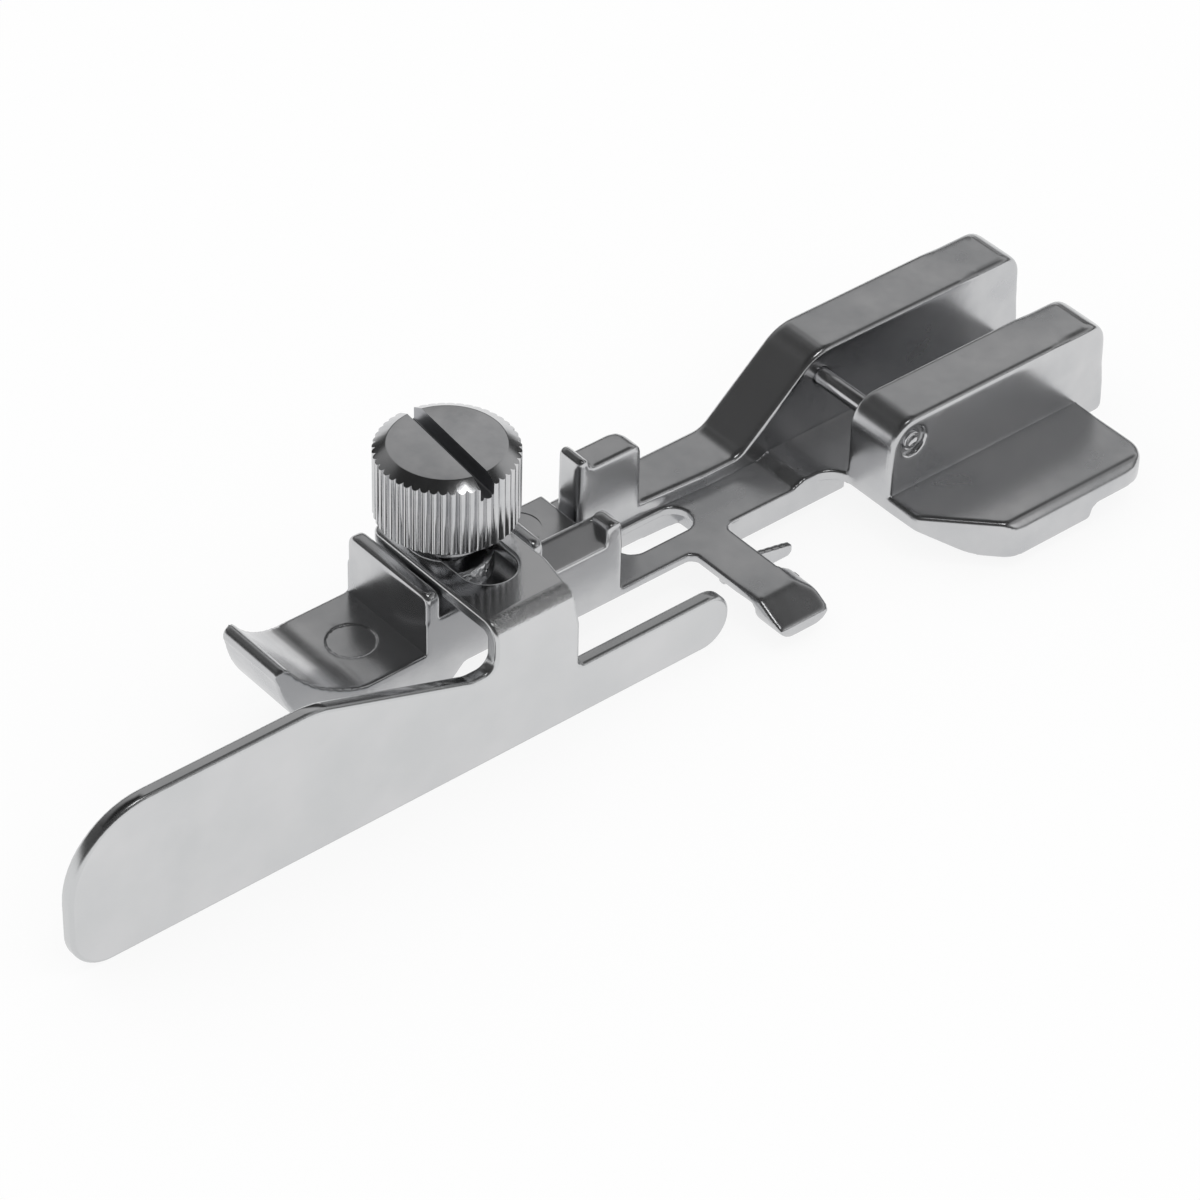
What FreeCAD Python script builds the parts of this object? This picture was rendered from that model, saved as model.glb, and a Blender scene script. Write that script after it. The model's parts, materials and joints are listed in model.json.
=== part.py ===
import FreeCAD, Part
import math
import os

# Blind hem presser foot for an overlock machine, in millimetres.
# While it is modelled, X points right, Y to the rear and Z up; X = Y = 0 is the
# axis of the thumb screw and Z = 0 is the sole. At the end everything is moved so
# that the origin is the centre of the part's bottom.

# Casting, front block
block_half_width = 3.95
tray_floor = 4.5
front_wall_thickness = 1.1
rib_thickness = 0.95
channel_floor = 6.9
rib_top = 8.9
rib_corner = 0.6
rib_round = 0.3
pad_diameter = 5.8
seat_top = 8.28
block_rear = 10.65
block_relief = 2.55
relief_start = -4.2
relief_ramp_end = 7.2
relief_ramp_length = 1.2
relief_round = 0.4
curb_width = 1.95
curb_ridge = 0.35
curb_top = 7.15
curb_side_top = 5.9
curb_round = 0.15
lug_width = 1.8
lug_length = 1.35
lug_top = 7.45
lug_round = 0.5
lug_corner = 0.45
lug_draft = 0.15

# Casting, toe
toe_tip = -14.9
toe_tip_half_width = 2.55
toe_taper_start = -9.3
toe_sole_radius = 8.0
toe_curl_start = -8.55
toe_curl_radius = 6.5
toe_lip_top = 7.45
toe_lip_height = 0.75
toe_lip_crown = 0.12
toe_taper_round = 3.0
toe_corner = 0.8
ejector_mark_diameter = 3.1
ejector_mark_depth = 0.06
toe_mark_y = -7.3
floor_mark_x = -2.35
floor_mark_y = 7.4

# Casting, left guard lug
guard_left = -3.05
guard_right = -0.9
guard_front = 11.1
guard_rear = 16.25
guard_post_length = 0.95
guard_post_top = 8.5
guard_top = 7.75
guard_round = 0.7
guard_post_round = 0.42
guard_step_round = 0.2
guard_far_corner = 1.2
guard_near_corner = 0.3

# Casting, needle plate and left rail
plate_top = 2.0
plate_thickness = 0.63
rail_right = -0.9
rail_top = 3.05
rail_lead = 2.5
rail_bend = 1.5
rail_taper_end = 21.6
needle_slot_left = -0.55
needle_slot_width = 2.5
needle_slot_front = 12.9
needle_slot_length = 5.95
bar_right = 3.1
thick_start = 19.3

# Casting, side arm with its runner and stitch finger
arm_front = 16.5
arm_width = 3.3
arm_flat_end = 10.1
arm_end = 12.3
arm_bevel_drop = 1.15
arm_corner = 0.6
arm_tip_corner = 0.5
ledge_start = 8.3
ledge_width = 0.85
ledge_drop = 0.5
ledge_corner = 0.9
ledge_notch = 0.3
runner_start = 9.7
runner_round = 1.2
finger_right = 6.15
finger_thickness = 0.5
finger_tip = 22.9
finger_root = 17.1
finger_root_top = 1.5
finger_root_bottom = 0.35
finger_bottom = 0.05
finger_bend = 0.6
finger_tip_top = 0.85
finger_tip_round = 0.4

# Casting, clevis, wing and heel
clevis_gap = 4.7
clevis_left = -0.6
left_wall_thickness = 4.05
right_wall_thickness = 4.0
left_wall_top = 8.42
right_wall_top = 8.2
left_ramp_start = 24.2
left_wall_front = 30.4
right_wall_front = 29.1
left_wall_rear = 48.6
right_wall_rear = 48.05
wall_rear_draft = 0.3
wall_front_round = 2.0
wall_rear_round = 1.5
ramp_round = 3.5
ramp_foot_round = 1.5
wall_foot_round = 0.5
wall_edge_round = 0.3
clevis_floor = 2.4
clevis_floor_start = 26.6
floor_inset = 1.0
floor_lead = 1.0
floor_lead_bottom = 0.5
wing_right = 15.15
wing_top = 2.72
wing_chamfer = 4.5
wing_front_corner = 0.6
wing_side_corner = 1.6
wing_rear = 45.6
wing_corner = 2.0
wing_edge_round = 0.25
wing_bevel_width = 0.6
wing_bevel_height = 0.65
wing_bevel_round = 0.4
heel_relief = 0.95
heel_front_rise = 1.65
heel_ramp_length = 2.7
heel_ramp_round = 2.5
heel_sole_end = 40.3
heel_step_length = 0.3
heel_fillet = 1.8

# Pin that the ankle clips onto
pin_diameter = 1.25
pin_y = 30.95
pin_z = 6.4
pin_end_inset = 0.12
pin_end_chamfer = 0.18
stake_diameter = 2.1
stake_depth = 0.3
press_allowance = 0.005

# Edge guide, bent from sheet
sheet = 1.0
bend_inside = 0.3
slide_gap = 0.02
tab_front = -3.4
tab_rear = 3.2
tab_left = -3.3
tab_corner = 0.9
tab_side_gap = 0.1
tab_rear_gap = 0.3
neck_rear = 3.05
guide_face = 9.1
guide_travel = 3.9
slot_clearance = 0.4
bend_rear = 2.75
tab_taper = 2.2
tab_taper_round = 2.5
blade_nose = -34.2
blade_nose_round = 5.7
blade_heel_round = 2.7
blade_bottom = -0.8
blade_top = 10.05
blade_slope_start = -16.6
blade_slope_end = -5.2
neck_low = 6.15
neck_front_round = 0.9
neck_rear_drop = 1.5
neck_rear_round = 1.0
slope_foot_round = 1.5
slope_head_round = 5.0
blade_finger_top = 3.08
blade_notch_round = 0.45
blade_tip = 15.05
blade_tip_top_round = 1.7
blade_tip_low_round = 2.0

# Thumb screw
head_diameter = 9.0
head_height = 5.2
head_chamfer = 0.85
head_chamfer_height = 0.45
knurl_count = 48
knurl_depth = 0.22
knurl_crest_start = 0.25
knurl_crest_end = 0.75
head_foot_chamfer = 0.25
head_foot_height = 0.2
collar_diameter = 5.4
collar_height = 1.6
screw_diameter = 2.8
thread_clearance = 0.05
screw_length = 6.0
driver_slot_width = 1.0
driver_slot_depth = 1.3
driver_slot_angle = -5.6

# How far cutters reach past the solid they cut, and how far blends reach into it
overshoot = 1.0

channel_front = tab_front - tab_side_gap
channel_rear = tab_rear + tab_rear_gap
plate_bottom = plate_top - plate_thickness
clevis_right = clevis_left + clevis_gap
wall_left = clevis_left - left_wall_thickness
wall_right = clevis_right + right_wall_thickness
arm_rear = arm_front + arm_width
tab_bottom = seat_top + slide_gap
tab_top = tab_bottom + sheet
head_bottom = tab_top + slide_gap + collar_height


def at(x, y, z):
    return FreeCAD.Vector(x, y, z)


def box(x0, x1, y0, y1, z0, z1):
    return Part.makeBox(x1 - x0, y1 - y0, z1 - z0, at(x0, y0, z0))


def rounded_wire(corners, place):
    """Closed wire through (u, v, radius) corners, put in space by place(u, v)."""
    count = len(corners)
    starts, ends, mids = [], [], []
    for i in range(count):
        u, v, radius = corners[i]
        back = corners[i - 1]
        ahead = corners[(i + 1) % count]
        in_u, in_v = u - back[0], v - back[1]
        out_u, out_v = ahead[0] - u, ahead[1] - v
        in_length = math.hypot(in_u, in_v)
        out_length = math.hypot(out_u, out_v)
        in_u, in_v = in_u / in_length, in_v / in_length
        out_u, out_v = out_u / out_length, out_v / out_length
        turn = math.atan2(in_u * out_v - in_v * out_u, in_u * out_u + in_v * out_v)
        if radius <= 0:
            starts.append((u, v))
            ends.append((u, v))
            mids.append(None)
            continue
        cut = radius * math.tan(abs(turn) / 2)
        start = (u - in_u * cut, v - in_v * cut)
        end = (u + out_u * cut, v + out_v * cut)
        side = 1 if turn > 0 else -1
        centre = (start[0] - in_v * radius * side, start[1] + in_u * radius * side)
        reach = math.hypot(u - centre[0], v - centre[1])
        mid = (centre[0] + (u - centre[0]) * radius / reach,
               centre[1] + (v - centre[1]) * radius / reach)
        starts.append(start)
        ends.append(end)
        mids.append(mid)
    edges = []
    for i in range(count):
        if mids[i]:
            arc = Part.Arc(place(*starts[i]), place(*mids[i]), place(*ends[i]))
            edges.append(arc.toShape())
        after = starts[(i + 1) % count]
        if math.hypot(after[0] - ends[i][0], after[1] - ends[i][1]) > 1e-6:
            edges.append(Part.LineSegment(place(*ends[i]), place(*after)).toShape())
    return Part.Wire(edges)


def side_prism(corners, x0, x1):
    """Prism whose outline is drawn in Y and Z, from X = x0 to x1."""
    wire = rounded_wire(corners, lambda y, z: at(x0, y, z))
    return Part.Face(wire).extrude(at(x1 - x0, 0, 0))


def plan_prism(corners, z0, z1):
    """Prism whose outline is drawn in X and Y, from Z = z0 to z1."""
    wire = rounded_wire(corners, lambda x, y: at(x, y, z0))
    return Part.Face(wire).extrude(at(0, 0, z1 - z0))


def end_prism(corners, y0, y1):
    """Prism whose outline is drawn in X and Z, from Y = y0 to y1."""
    wire = rounded_wire(corners, lambda x, z: at(x, y0, z))
    return Part.Face(wire).extrude(at(0, y1 - y0, 0))


def softened(solid, radius, wanted):
    """The solid with a fillet on every edge whose middle and box are wanted."""
    edges = [edge for edge in solid.Edges if wanted(edge.CenterOfMass, edge.BoundBox)]
    return solid.makeFillet(radius, edges)


def lies_at(low, high, value):
    """Whether a span from low to high is flat and at value."""
    return abs(low - value) < 1e-4 and abs(high - value) < 1e-4


def long_hole(x0, x1, y0, y1, z0, z1):
    """Cutter with full round ends, long in X or in Y."""
    radius = min(x1 - x0, y1 - y0) / 2
    if x1 - x0 > y1 - y0:
        first, last = at(x0 + radius, y0 + radius, z0), at(x1 - radius, y0 + radius, z0)
        middle = box(first.x, last.x, y0, y1, z0, z1)
    else:
        first, last = at(x0 + radius, y0 + radius, z0), at(x0 + radius, y1 - radius, z0)
        middle = box(x0, x1, first.y, last.y, z0, z1)
    ends = [Part.makeCylinder(radius, z1 - z0, point) for point in (first, last)]
    return joined([middle] + ends)


def joined(shapes):
    whole = shapes[0]
    for shape in shapes[1:]:
        whole = whole.fuse(shape)
    return whole.removeSplitter()


def cross_rib(y0, y1):
    """Upright rib across the block, rounded at its two upper corners."""
    side = block_half_width
    corners = [(-side, tray_floor, 0), (side, tray_floor, 0),
               (side, rib_top, rib_corner), (-side, rib_top, rib_corner)]
    return softened(end_prism(corners, y0, y1), rib_round,
                    lambda middle, span: span.YLength < 1e-4 and middle.z > tray_floor + rib_round)


def toe_block():
    """Toe and block floor: curled tray above, long sole curve below."""
    curl_angle = math.acos(1 - (toe_lip_top - tray_floor) / toe_curl_radius)
    lip_y = toe_curl_start - toe_curl_radius * math.sin(curl_angle)
    half = curl_angle / 2
    curl_centre = tray_floor + toe_curl_radius
    curl_mid = at(0, toe_curl_start - toe_curl_radius * math.sin(half),
                  curl_centre - toe_curl_radius * math.cos(half))
    sole_start = toe_tip + toe_sole_radius
    lip_angle = math.asin((toe_sole_radius - toe_lip_top + toe_lip_height) / toe_sole_radius)
    lip_front = at(0, sole_start - toe_sole_radius * math.cos(lip_angle), toe_lip_top - toe_lip_height)
    sole_angle = (lip_angle + math.pi / 2) / 2
    sole_mid = at(0, sole_start - toe_sole_radius * math.cos(sole_angle),
                  toe_sole_radius - toe_sole_radius * math.sin(sole_angle))
    lip_top = at(0, lip_y, toe_lip_top)
    lip_crest = at(0, (lip_front.y + lip_y) / 2 - toe_lip_crown, toe_lip_top + toe_lip_crown)
    path = [
        Part.Arc(lip_top, curl_mid, at(0, toe_curl_start, tray_floor)).toShape(),
        Part.LineSegment(at(0, toe_curl_start, tray_floor), at(0, block_rear, tray_floor)).toShape(),
        Part.LineSegment(at(0, block_rear, tray_floor), at(0, block_rear, 0)).toShape(),
        Part.LineSegment(at(0, block_rear, 0), at(0, sole_start, 0)).toShape(),
        Part.Arc(at(0, sole_start, 0), sole_mid, lip_front).toShape(),
        Part.Arc(lip_front, lip_crest, lip_top).toShape(),
    ]
    face = Part.Face(Part.Wire(path))
    face.translate(at(-block_half_width, 0, 0))
    solid = face.extrude(at(2 * block_half_width, 0, 0))
    side = block_half_width
    tip = toe_tip_half_width
    front = toe_tip - toe_corner / 2
    plan = plan_prism([(-side, block_rear, 0), (-side, toe_taper_start, toe_taper_round),
                       (-tip, front, toe_corner), (tip, front, toe_corner),
                       (side, toe_taper_start, toe_taper_round), (side, block_rear, 0)],
                      -overshoot, toe_lip_top + overshoot)
    return solid.common(plan)


def front_block():
    side = block_half_width
    channel = box(-side, side, channel_front - front_wall_thickness,
                  channel_rear + rib_thickness, tray_floor, channel_floor)
    pad = Part.makeCylinder(pad_diameter / 2, seat_top - channel_floor, at(0, 0, channel_floor))
    walls = [cross_rib(channel_front - front_wall_thickness, channel_front),
             cross_rib(channel_rear, channel_rear + rib_thickness)]
    ridge = side - curb_width
    curb = end_prism([(ridge, tray_floor, 0), (side, tray_floor, 0), (side, curb_side_top, 0),
                      (ridge + curb_ridge, curb_top, curb_round), (ridge, curb_top, curb_round)],
                     channel_rear + rib_thickness, block_rear)
    lug = side_prism([(block_rear - lug_length, tray_floor, 0), (block_rear, tray_floor, 0),
                      (block_rear, lug_top, lug_round),
                      (block_rear - lug_length + lug_draft, lug_top, lug_round)],
                     side - lug_width, side)
    lug = lug.common(plan_prism([(side - lug_width, block_rear - lug_length, lug_corner),
                                 (side, block_rear - lug_length, 0), (side, block_rear, 0),
                                 (side - lug_width, block_rear, lug_corner)],
                                tray_floor, lug_top + overshoot))
    solid = joined([toe_block(), channel, pad] + walls + [curb, lug])
    rear = block_rear + overshoot
    relief = side_prism([(relief_start, -overshoot, 0), (relief_start, 0, 0),
                         (relief_start + block_relief, block_relief, relief_round),
                         (relief_ramp_end - relief_ramp_length, block_relief, relief_round),
                         (relief_ramp_end, plate_bottom, relief_round),
                         (rear, plate_bottom, 0), (rear, -overshoot, 0)],
                        rail_right, side + overshoot)
    for cutter in [relief, ejector_mark(0, toe_mark_y), ejector_mark(floor_mark_x, floor_mark_y)]:
        solid = solid.cut(cutter)
    return solid


def ejector_mark(x, y):
    return Part.makeCylinder(ejector_mark_diameter / 2, overshoot,
                             at(x, y, tray_floor - ejector_mark_depth))


def guard_lug():
    """Left lug beside the needle: a post in front of a lower wall."""
    step = guard_front + guard_post_length
    side = side_prism([(guard_front, plate_top, 0), (guard_rear, plate_top, 0),
                       (guard_rear, guard_top, guard_round), (step, guard_top, guard_step_round),
                       (step, guard_post_top, guard_post_round),
                       (guard_front, guard_post_top, guard_post_round)], guard_left, guard_right)
    plan = plan_prism([(guard_left, guard_front, guard_near_corner),
                       (guard_right, guard_front, guard_near_corner),
                       (guard_right, guard_rear, guard_near_corner),
                       (guard_left, guard_rear, guard_far_corner)],
                      plate_top, guard_post_top + overshoot)
    return side.common(plan)


def left_side():
    """Left runner under the whole foot: rail, ramp and left clevis wall."""
    runner = box(-block_half_width, rail_right, relief_start - overshoot, block_rear, 0, tray_floor)
    rail_end = left_ramp_start + overshoot
    rail = plan_prism([(-block_half_width, block_rear - rail_lead, rail_bend),
                       (wall_left, block_rear, rail_bend), (wall_left, rail_end, 0),
                       (clevis_left, rail_end, 0), (clevis_left, rail_taper_end, rail_bend),
                       (rail_right, guard_rear, rail_bend),
                       (rail_right, block_rear - rail_lead, 0)], 0, rail_top)
    rail = softened(rail, wall_edge_round,
                    lambda middle, span: lies_at(span.ZMin, span.ZMax, rail_top)
                    and span.YLength > rail_bend)
    wall_start = left_ramp_start - ramp_foot_round
    wall = side_prism([(wall_start, 0, 0), (left_wall_rear, heel_relief, wall_foot_round),
                       (left_wall_rear - wall_rear_draft, left_wall_top, wall_rear_round),
                       (left_wall_front, left_wall_top, ramp_round),
                       (left_ramp_start, rail_top, ramp_foot_round), (wall_start, rail_top, 0)],
                      wall_left, clevis_left)
    wall = softened(wall, wall_edge_round,
                    lambda middle, span: span.XLength < 1e-4 and middle.z > rail_top - 1e-4)
    return joined([runner, rail, wall])


def needle_plate():
    """Thin plate round the needle slot, with the side arm."""
    side = block_half_width
    front = block_rear - overshoot
    rear = thick_start + overshoot
    ledge_rear = arm_rear + ledge_width
    return plan_prism([(rail_right, front, 0), (side, front, 0),
                       (side, arm_front, arm_corner), (arm_end, arm_front, arm_tip_corner),
                       (arm_end, ledge_rear, ledge_corner), (ledge_start, ledge_rear, ledge_notch),
                       (ledge_start, arm_rear, 0), (bar_right, arm_rear, arm_corner),
                       (bar_right, rear, 0), (rail_right, rear, 0)],
                      plate_bottom, plate_top)


def needle_slot():
    return long_hole(needle_slot_left, needle_slot_left + needle_slot_width, needle_slot_front,
                     needle_slot_front + needle_slot_length, -overshoot, plate_top + overshoot)


def arm_runner():
    """Shoe at the arm's end, sloped on top and rounded below."""
    y0, y1 = arm_front, arm_rear + ledge_width
    return side_prism([(y0, plate_top, 0), (y0, 0, runner_round), (y1, 0, runner_round),
                       (y1, plate_top, 0)], runner_start, arm_end)


def arm_top_cuts():
    """Slope on the arm's end and chamfer along its rear ledge."""
    past_end = arm_end + overshoot
    drop = arm_bevel_drop * (past_end - arm_flat_end) / (arm_end - arm_flat_end)
    above = plate_top + overshoot
    end = end_prism([(arm_flat_end, plate_top, 0), (past_end, plate_top - drop, 0),
                     (past_end, above, 0), (arm_flat_end, above, 0)],
                    arm_front - overshoot, arm_rear + ledge_width + overshoot)
    ledge_rear = arm_rear + ledge_width
    ledge = side_prism([(arm_rear, plate_top, 0), (ledge_rear, plate_top - ledge_drop, 0),
                        (ledge_rear + overshoot, plate_top - ledge_drop, 0),
                        (ledge_rear + overshoot, above, 0), (arm_rear, above, 0)],
                       ledge_start, past_end)
    return [end, ledge]


def stitch_finger():
    """Thin tongue that trails from under the arm and holds the stitch open."""
    return side_prism([(finger_root, finger_root_top, 0),
                       (finger_root, finger_root_bottom, finger_bend / 2),
                       (arm_rear + finger_tip_round, finger_bottom, finger_bend),
                       (finger_tip, finger_bottom, finger_tip_round),
                       (finger_tip, finger_tip_top, finger_tip_round / 2), (arm_rear, finger_root_top, 0)],
                      finger_right - finger_thickness, finger_right)


def rear_frame():
    """Thick bar behind the slot, clevis floor, right wall, wing and heel."""
    floor_end = right_wall_rear - floor_inset
    lead = clevis_floor_start - floor_lead
    bar = box(rail_right, bar_right, thick_start, right_wall_front + overshoot, 0, plate_top)
    floor = side_prism([(lead, floor_lead_bottom, 0), (floor_end, heel_relief, 0),
                        (floor_end, clevis_floor, 0), (clevis_floor_start, clevis_floor, 0),
                        (lead, plate_top, 0)], clevis_left - overshoot, bar_right)
    floor_rear = box(bar_right - overshoot, clevis_right + overshoot, right_wall_front, floor_end,
                     heel_relief, clevis_floor)
    wall = side_prism([(right_wall_front, heel_front_rise, 0),
                       (right_wall_rear, heel_relief, wall_foot_round),
                       (right_wall_rear - wall_rear_draft, right_wall_top, wall_rear_round),
                       (right_wall_front, right_wall_top, wall_front_round)], clevis_right, wall_right)
    wall = softened(wall, wall_edge_round,
                    lambda middle, span: span.XLength < 1e-4 and middle.z > wing_top)
    return joined([bar, floor, floor_rear, wall, wing(), heel_corner()])


def wing():
    """Flat wing on the right of the clevis, bevelled along its outer edge."""
    plan = plan_prism([(clevis_right, right_wall_front, 0),
                       (wing_right - wing_chamfer, right_wall_front, wing_front_corner),
                       (wing_right, right_wall_front + wing_chamfer, wing_side_corner),
                       (wing_right, wing_rear, wing_corner), (clevis_right, wing_rear, 0)],
                      0, wing_top)
    plan = softened(plan, wing_edge_round,
                    lambda middle, span: lies_at(span.ZMin, span.ZMax, wing_top)
                    and span.XLength > wing_corner and middle.x > wall_right)
    section = end_prism([(clevis_right, 0, 0), (wing_right, 0, 0),
                         (wing_right, wing_top - wing_bevel_height, wing_bevel_round),
                         (wing_right - wing_bevel_width, wing_top, 0), (clevis_right, wing_top, 0)],
                        right_wall_front - overshoot, wing_rear + overshoot)
    return plan.common(section)


def heel_corner():
    """Rounded inside corner between the bar and the heel's front."""
    reach = bar_right + heel_fillet
    start = right_wall_front - heel_fillet
    square = box(bar_right - overshoot, reach, start, right_wall_front + overshoot,
                 heel_front_rise, clevis_floor)
    hollow = Part.makeCylinder(heel_fillet, clevis_floor, at(reach, start, 0))
    return square.cut(hollow)


def heel_cuts():
    """Ramp under the heel's front right and the relief behind its sole."""
    start = right_wall_front - overshoot
    ramp_end = right_wall_front + heel_ramp_length
    sole_start = ramp_end + heel_ramp_round
    ramp = side_prism([(start, -overshoot, 0), (sole_start, -overshoot, 0),
                       (sole_start, 0, 0), (ramp_end, 0, heel_ramp_round),
                       (right_wall_front, heel_front_rise, 0), (start, heel_front_rise, 0)],
                      bar_right, wing_right + overshoot)
    rear = left_wall_rear + overshoot
    relief = side_prism([(heel_sole_end, -overshoot, 0), (heel_sole_end, 0, 0),
                         (heel_sole_end + heel_step_length, heel_relief, 0), (rear, heel_relief, 0),
                         (rear, -overshoot, 0)], wall_left - overshoot, wing_right + overshoot)
    return [ramp, relief]


def pin_cut():
    """Bore through both clevis walls with a staked recess at each end."""
    start = at(wall_left - overshoot, pin_y, pin_z)
    bore = Part.makeCylinder(pin_diameter / 2 + press_allowance,
                             wall_right - wall_left + 2 * overshoot, start, at(1, 0, 0))
    left = Part.makeCylinder(stake_diameter / 2, stake_depth + overshoot, start, at(1, 0, 0))
    right = Part.makeCylinder(stake_diameter / 2, stake_depth + overshoot,
                              at(wall_right - stake_depth, pin_y, pin_z), at(1, 0, 0))
    return bore.fuse(left).fuse(right)


def foot_body():
    solid = joined([front_block(), guard_lug(), left_side(), needle_plate(), arm_runner(),
                    rear_frame()])
    for cutter in arm_top_cuts() + heel_cuts() + [needle_slot(), pin_cut()]:
        solid = solid.cut(cutter)
    solid = joined([solid, stitch_finger()])
    thread = Part.makeCylinder(screw_diameter / 2 + thread_clearance, seat_top + overshoot)
    return solid.cut(thread).removeSplitter()


def snap_pin():
    """Pressed steel pin that the presser bar's ankle clips onto."""
    start = wall_left + pin_end_inset
    end = wall_right - pin_end_inset
    radius = pin_diameter / 2
    small = radius - pin_end_chamfer
    outline = [(start, 0), (start, small), (start + pin_end_chamfer, radius),
               (end - pin_end_chamfer, radius), (end, small), (end, 0), (start, 0)]
    wire = Part.makePolygon([at(x, pin_y, pin_z + height) for x, height in outline])
    return Part.Face(wire).revolve(at(start, pin_y, pin_z), at(1, 0, 0), 360)


def edge_guide():
    """Slotted tab bent down into a long blade with a trailing finger."""
    outside = bend_inside + sheet
    bend_start = guide_face - outside
    tab = plan_prism([(tab_left, tab_front, tab_corner), (bend_start, tab_front, 0),
                      (bend_start, bend_rear, 0), (bend_start - tab_taper, tab_rear, tab_taper_round),
                      (tab_left, tab_rear, tab_corner)],
                     tab_bottom, tab_top)
    bend_centre = at(bend_start, tab_front, tab_top - outside)
    outer = Part.makeCylinder(outside, bend_rear - tab_front, bend_centre, at(0, 1, 0))
    inner = Part.makeCylinder(bend_inside, bend_rear - tab_front, bend_centre, at(0, 1, 0))
    quarter = box(bend_start, guide_face, tab_front, bend_rear, tab_top - outside, tab_top)
    bend = outer.cut(inner).common(quarter)
    neck_top = tab_top - outside
    blade = side_prism([(tab_front, neck_top, 0), (tab_front, neck_low, neck_front_round),
                        (blade_slope_end, neck_low, slope_foot_round),
                        (blade_slope_start, blade_top, slope_head_round),
                        (blade_nose, blade_top, blade_nose_round),
                        (blade_nose, blade_bottom, blade_heel_round),
                        (blade_tip, blade_bottom, blade_tip_low_round),
                        (blade_tip, blade_finger_top, blade_tip_top_round),
                        (neck_rear, blade_finger_top, blade_notch_round),
                        (neck_rear, neck_top - neck_rear_drop, neck_rear_round),
                        (bend_rear, neck_top, 0)],
                       guide_face - sheet, guide_face)
    radius = screw_diameter / 2 + slot_clearance
    slot = long_hole(-radius, radius + guide_travel, -radius, radius,
                     tab_bottom - overshoot, tab_top + overshoot)
    return joined([tab, bend, blade]).cut(slot)


def knurled_head(z0):
    """Straight-knurled drum with a chamfer above and a small one below."""
    radius = head_diameter / 2
    tooth = [(0, radius - knurl_depth), (knurl_crest_start, radius), (knurl_crest_end, radius)]
    points = []
    for i in range(knurl_count):
        for share, reach in tooth:
            angle = 2 * math.pi * (i + share) / knurl_count
            points.append(at(reach * math.cos(angle), reach * math.sin(angle), z0))
    points.append(points[0])
    drum = Part.Face(Part.makePolygon(points)).extrude(at(0, 0, head_height))
    small = radius - head_chamfer
    foot = radius - head_foot_chamfer
    shell = Part.makePolygon([at(0, 0, z0), at(foot, 0, z0), at(radius, 0, z0 + head_foot_height),
                              at(radius, 0, z0 + head_height - head_chamfer_height),
                              at(small, 0, z0 + head_height), at(0, 0, z0 + head_height), at(0, 0, z0)])
    turned = Part.Face(shell).revolve(at(0, 0, 0), at(0, 0, 1), 360)
    return drum.common(turned)


def thumb_screw():
    """Knurled thumb screw with a driver slot, a clamping collar and a shank."""
    collar_bottom = head_bottom - collar_height
    head = knurled_head(head_bottom)
    collar = Part.makeCylinder(collar_diameter / 2, collar_height, at(0, 0, collar_bottom))
    shank = Part.makeCylinder(screw_diameter / 2, screw_length, at(0, 0, collar_bottom - screw_length))
    slot = box(-head_diameter, head_diameter, -driver_slot_width / 2, driver_slot_width / 2,
               head_bottom + head_height - driver_slot_depth, head_bottom + head_height + overshoot)
    slot.rotate(at(0, 0, 0), at(0, 0, 1), driver_slot_angle)
    return joined([head, collar, shank]).cut(slot)


pieces = {
    "foot_body": foot_body(),
    "snap_pin": snap_pin(),
    "edge_guide": edge_guide(),
    "thumb_screw": thumb_screw(),
}

foot_rear = max(left_wall_rear, right_wall_rear)
frame_shift = at(-(wall_left + wing_right) / 2, -(blade_nose + foot_rear) / 2, -min(blade_bottom, 0))

os.makedirs("parts", exist_ok=True)
for name, shape in pieces.items():
    shape.translate(frame_shift)
    shape.exportStep("parts/" + name + ".step")
    box_size = shape.BoundBox
    print(name, "solids", len(shape.Solids), "valid", shape.isValid(), "volume", round(shape.Volume, 2),
          "X", round(box_size.XMin, 2), round(box_size.XMax, 2),
          "Y", round(box_size.YMin, 2), round(box_size.YMax, 2),
          "Z", round(box_size.ZMin, 2), round(box_size.ZMax, 2))
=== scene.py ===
import json
import math

import bpy
from mathutils import Matrix, Vector


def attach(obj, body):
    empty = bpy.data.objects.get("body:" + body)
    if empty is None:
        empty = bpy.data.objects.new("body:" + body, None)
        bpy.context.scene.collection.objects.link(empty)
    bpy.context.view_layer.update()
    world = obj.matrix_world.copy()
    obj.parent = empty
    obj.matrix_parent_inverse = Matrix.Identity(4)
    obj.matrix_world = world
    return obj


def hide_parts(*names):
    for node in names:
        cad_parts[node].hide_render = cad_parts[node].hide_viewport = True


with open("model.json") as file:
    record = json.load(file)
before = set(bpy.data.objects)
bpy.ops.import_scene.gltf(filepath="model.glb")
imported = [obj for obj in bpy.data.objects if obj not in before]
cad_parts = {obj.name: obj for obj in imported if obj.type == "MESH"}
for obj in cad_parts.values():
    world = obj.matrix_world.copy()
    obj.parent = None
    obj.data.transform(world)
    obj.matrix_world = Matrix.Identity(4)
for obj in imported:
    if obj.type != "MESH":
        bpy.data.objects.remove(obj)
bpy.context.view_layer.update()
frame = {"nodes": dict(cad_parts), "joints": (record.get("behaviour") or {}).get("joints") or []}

mm = 0.001
touching = 1e-6  # places closer than this, in metres, are one place
bladeDrop = 0.8  # the blade hangs this far under the sole
joints = {joint["name"]: joint for joint in frame["joints"]}
screwAxis = Vector(joints["screw_turn"]["pos_m"])


def place(x, y, z):  # mm from the screw's axis and the sole, to the frame's metres
    return Vector((screwAxis.x + x * mm, screwAxis.y + y * mm, (z + bladeDrop) * mm))


def deselectAll():
    if bpy.context.object and bpy.context.object.mode != "OBJECT":
        bpy.ops.object.mode_set(mode="OBJECT")
    bpy.ops.object.select_all(action="DESELECT")


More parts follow.
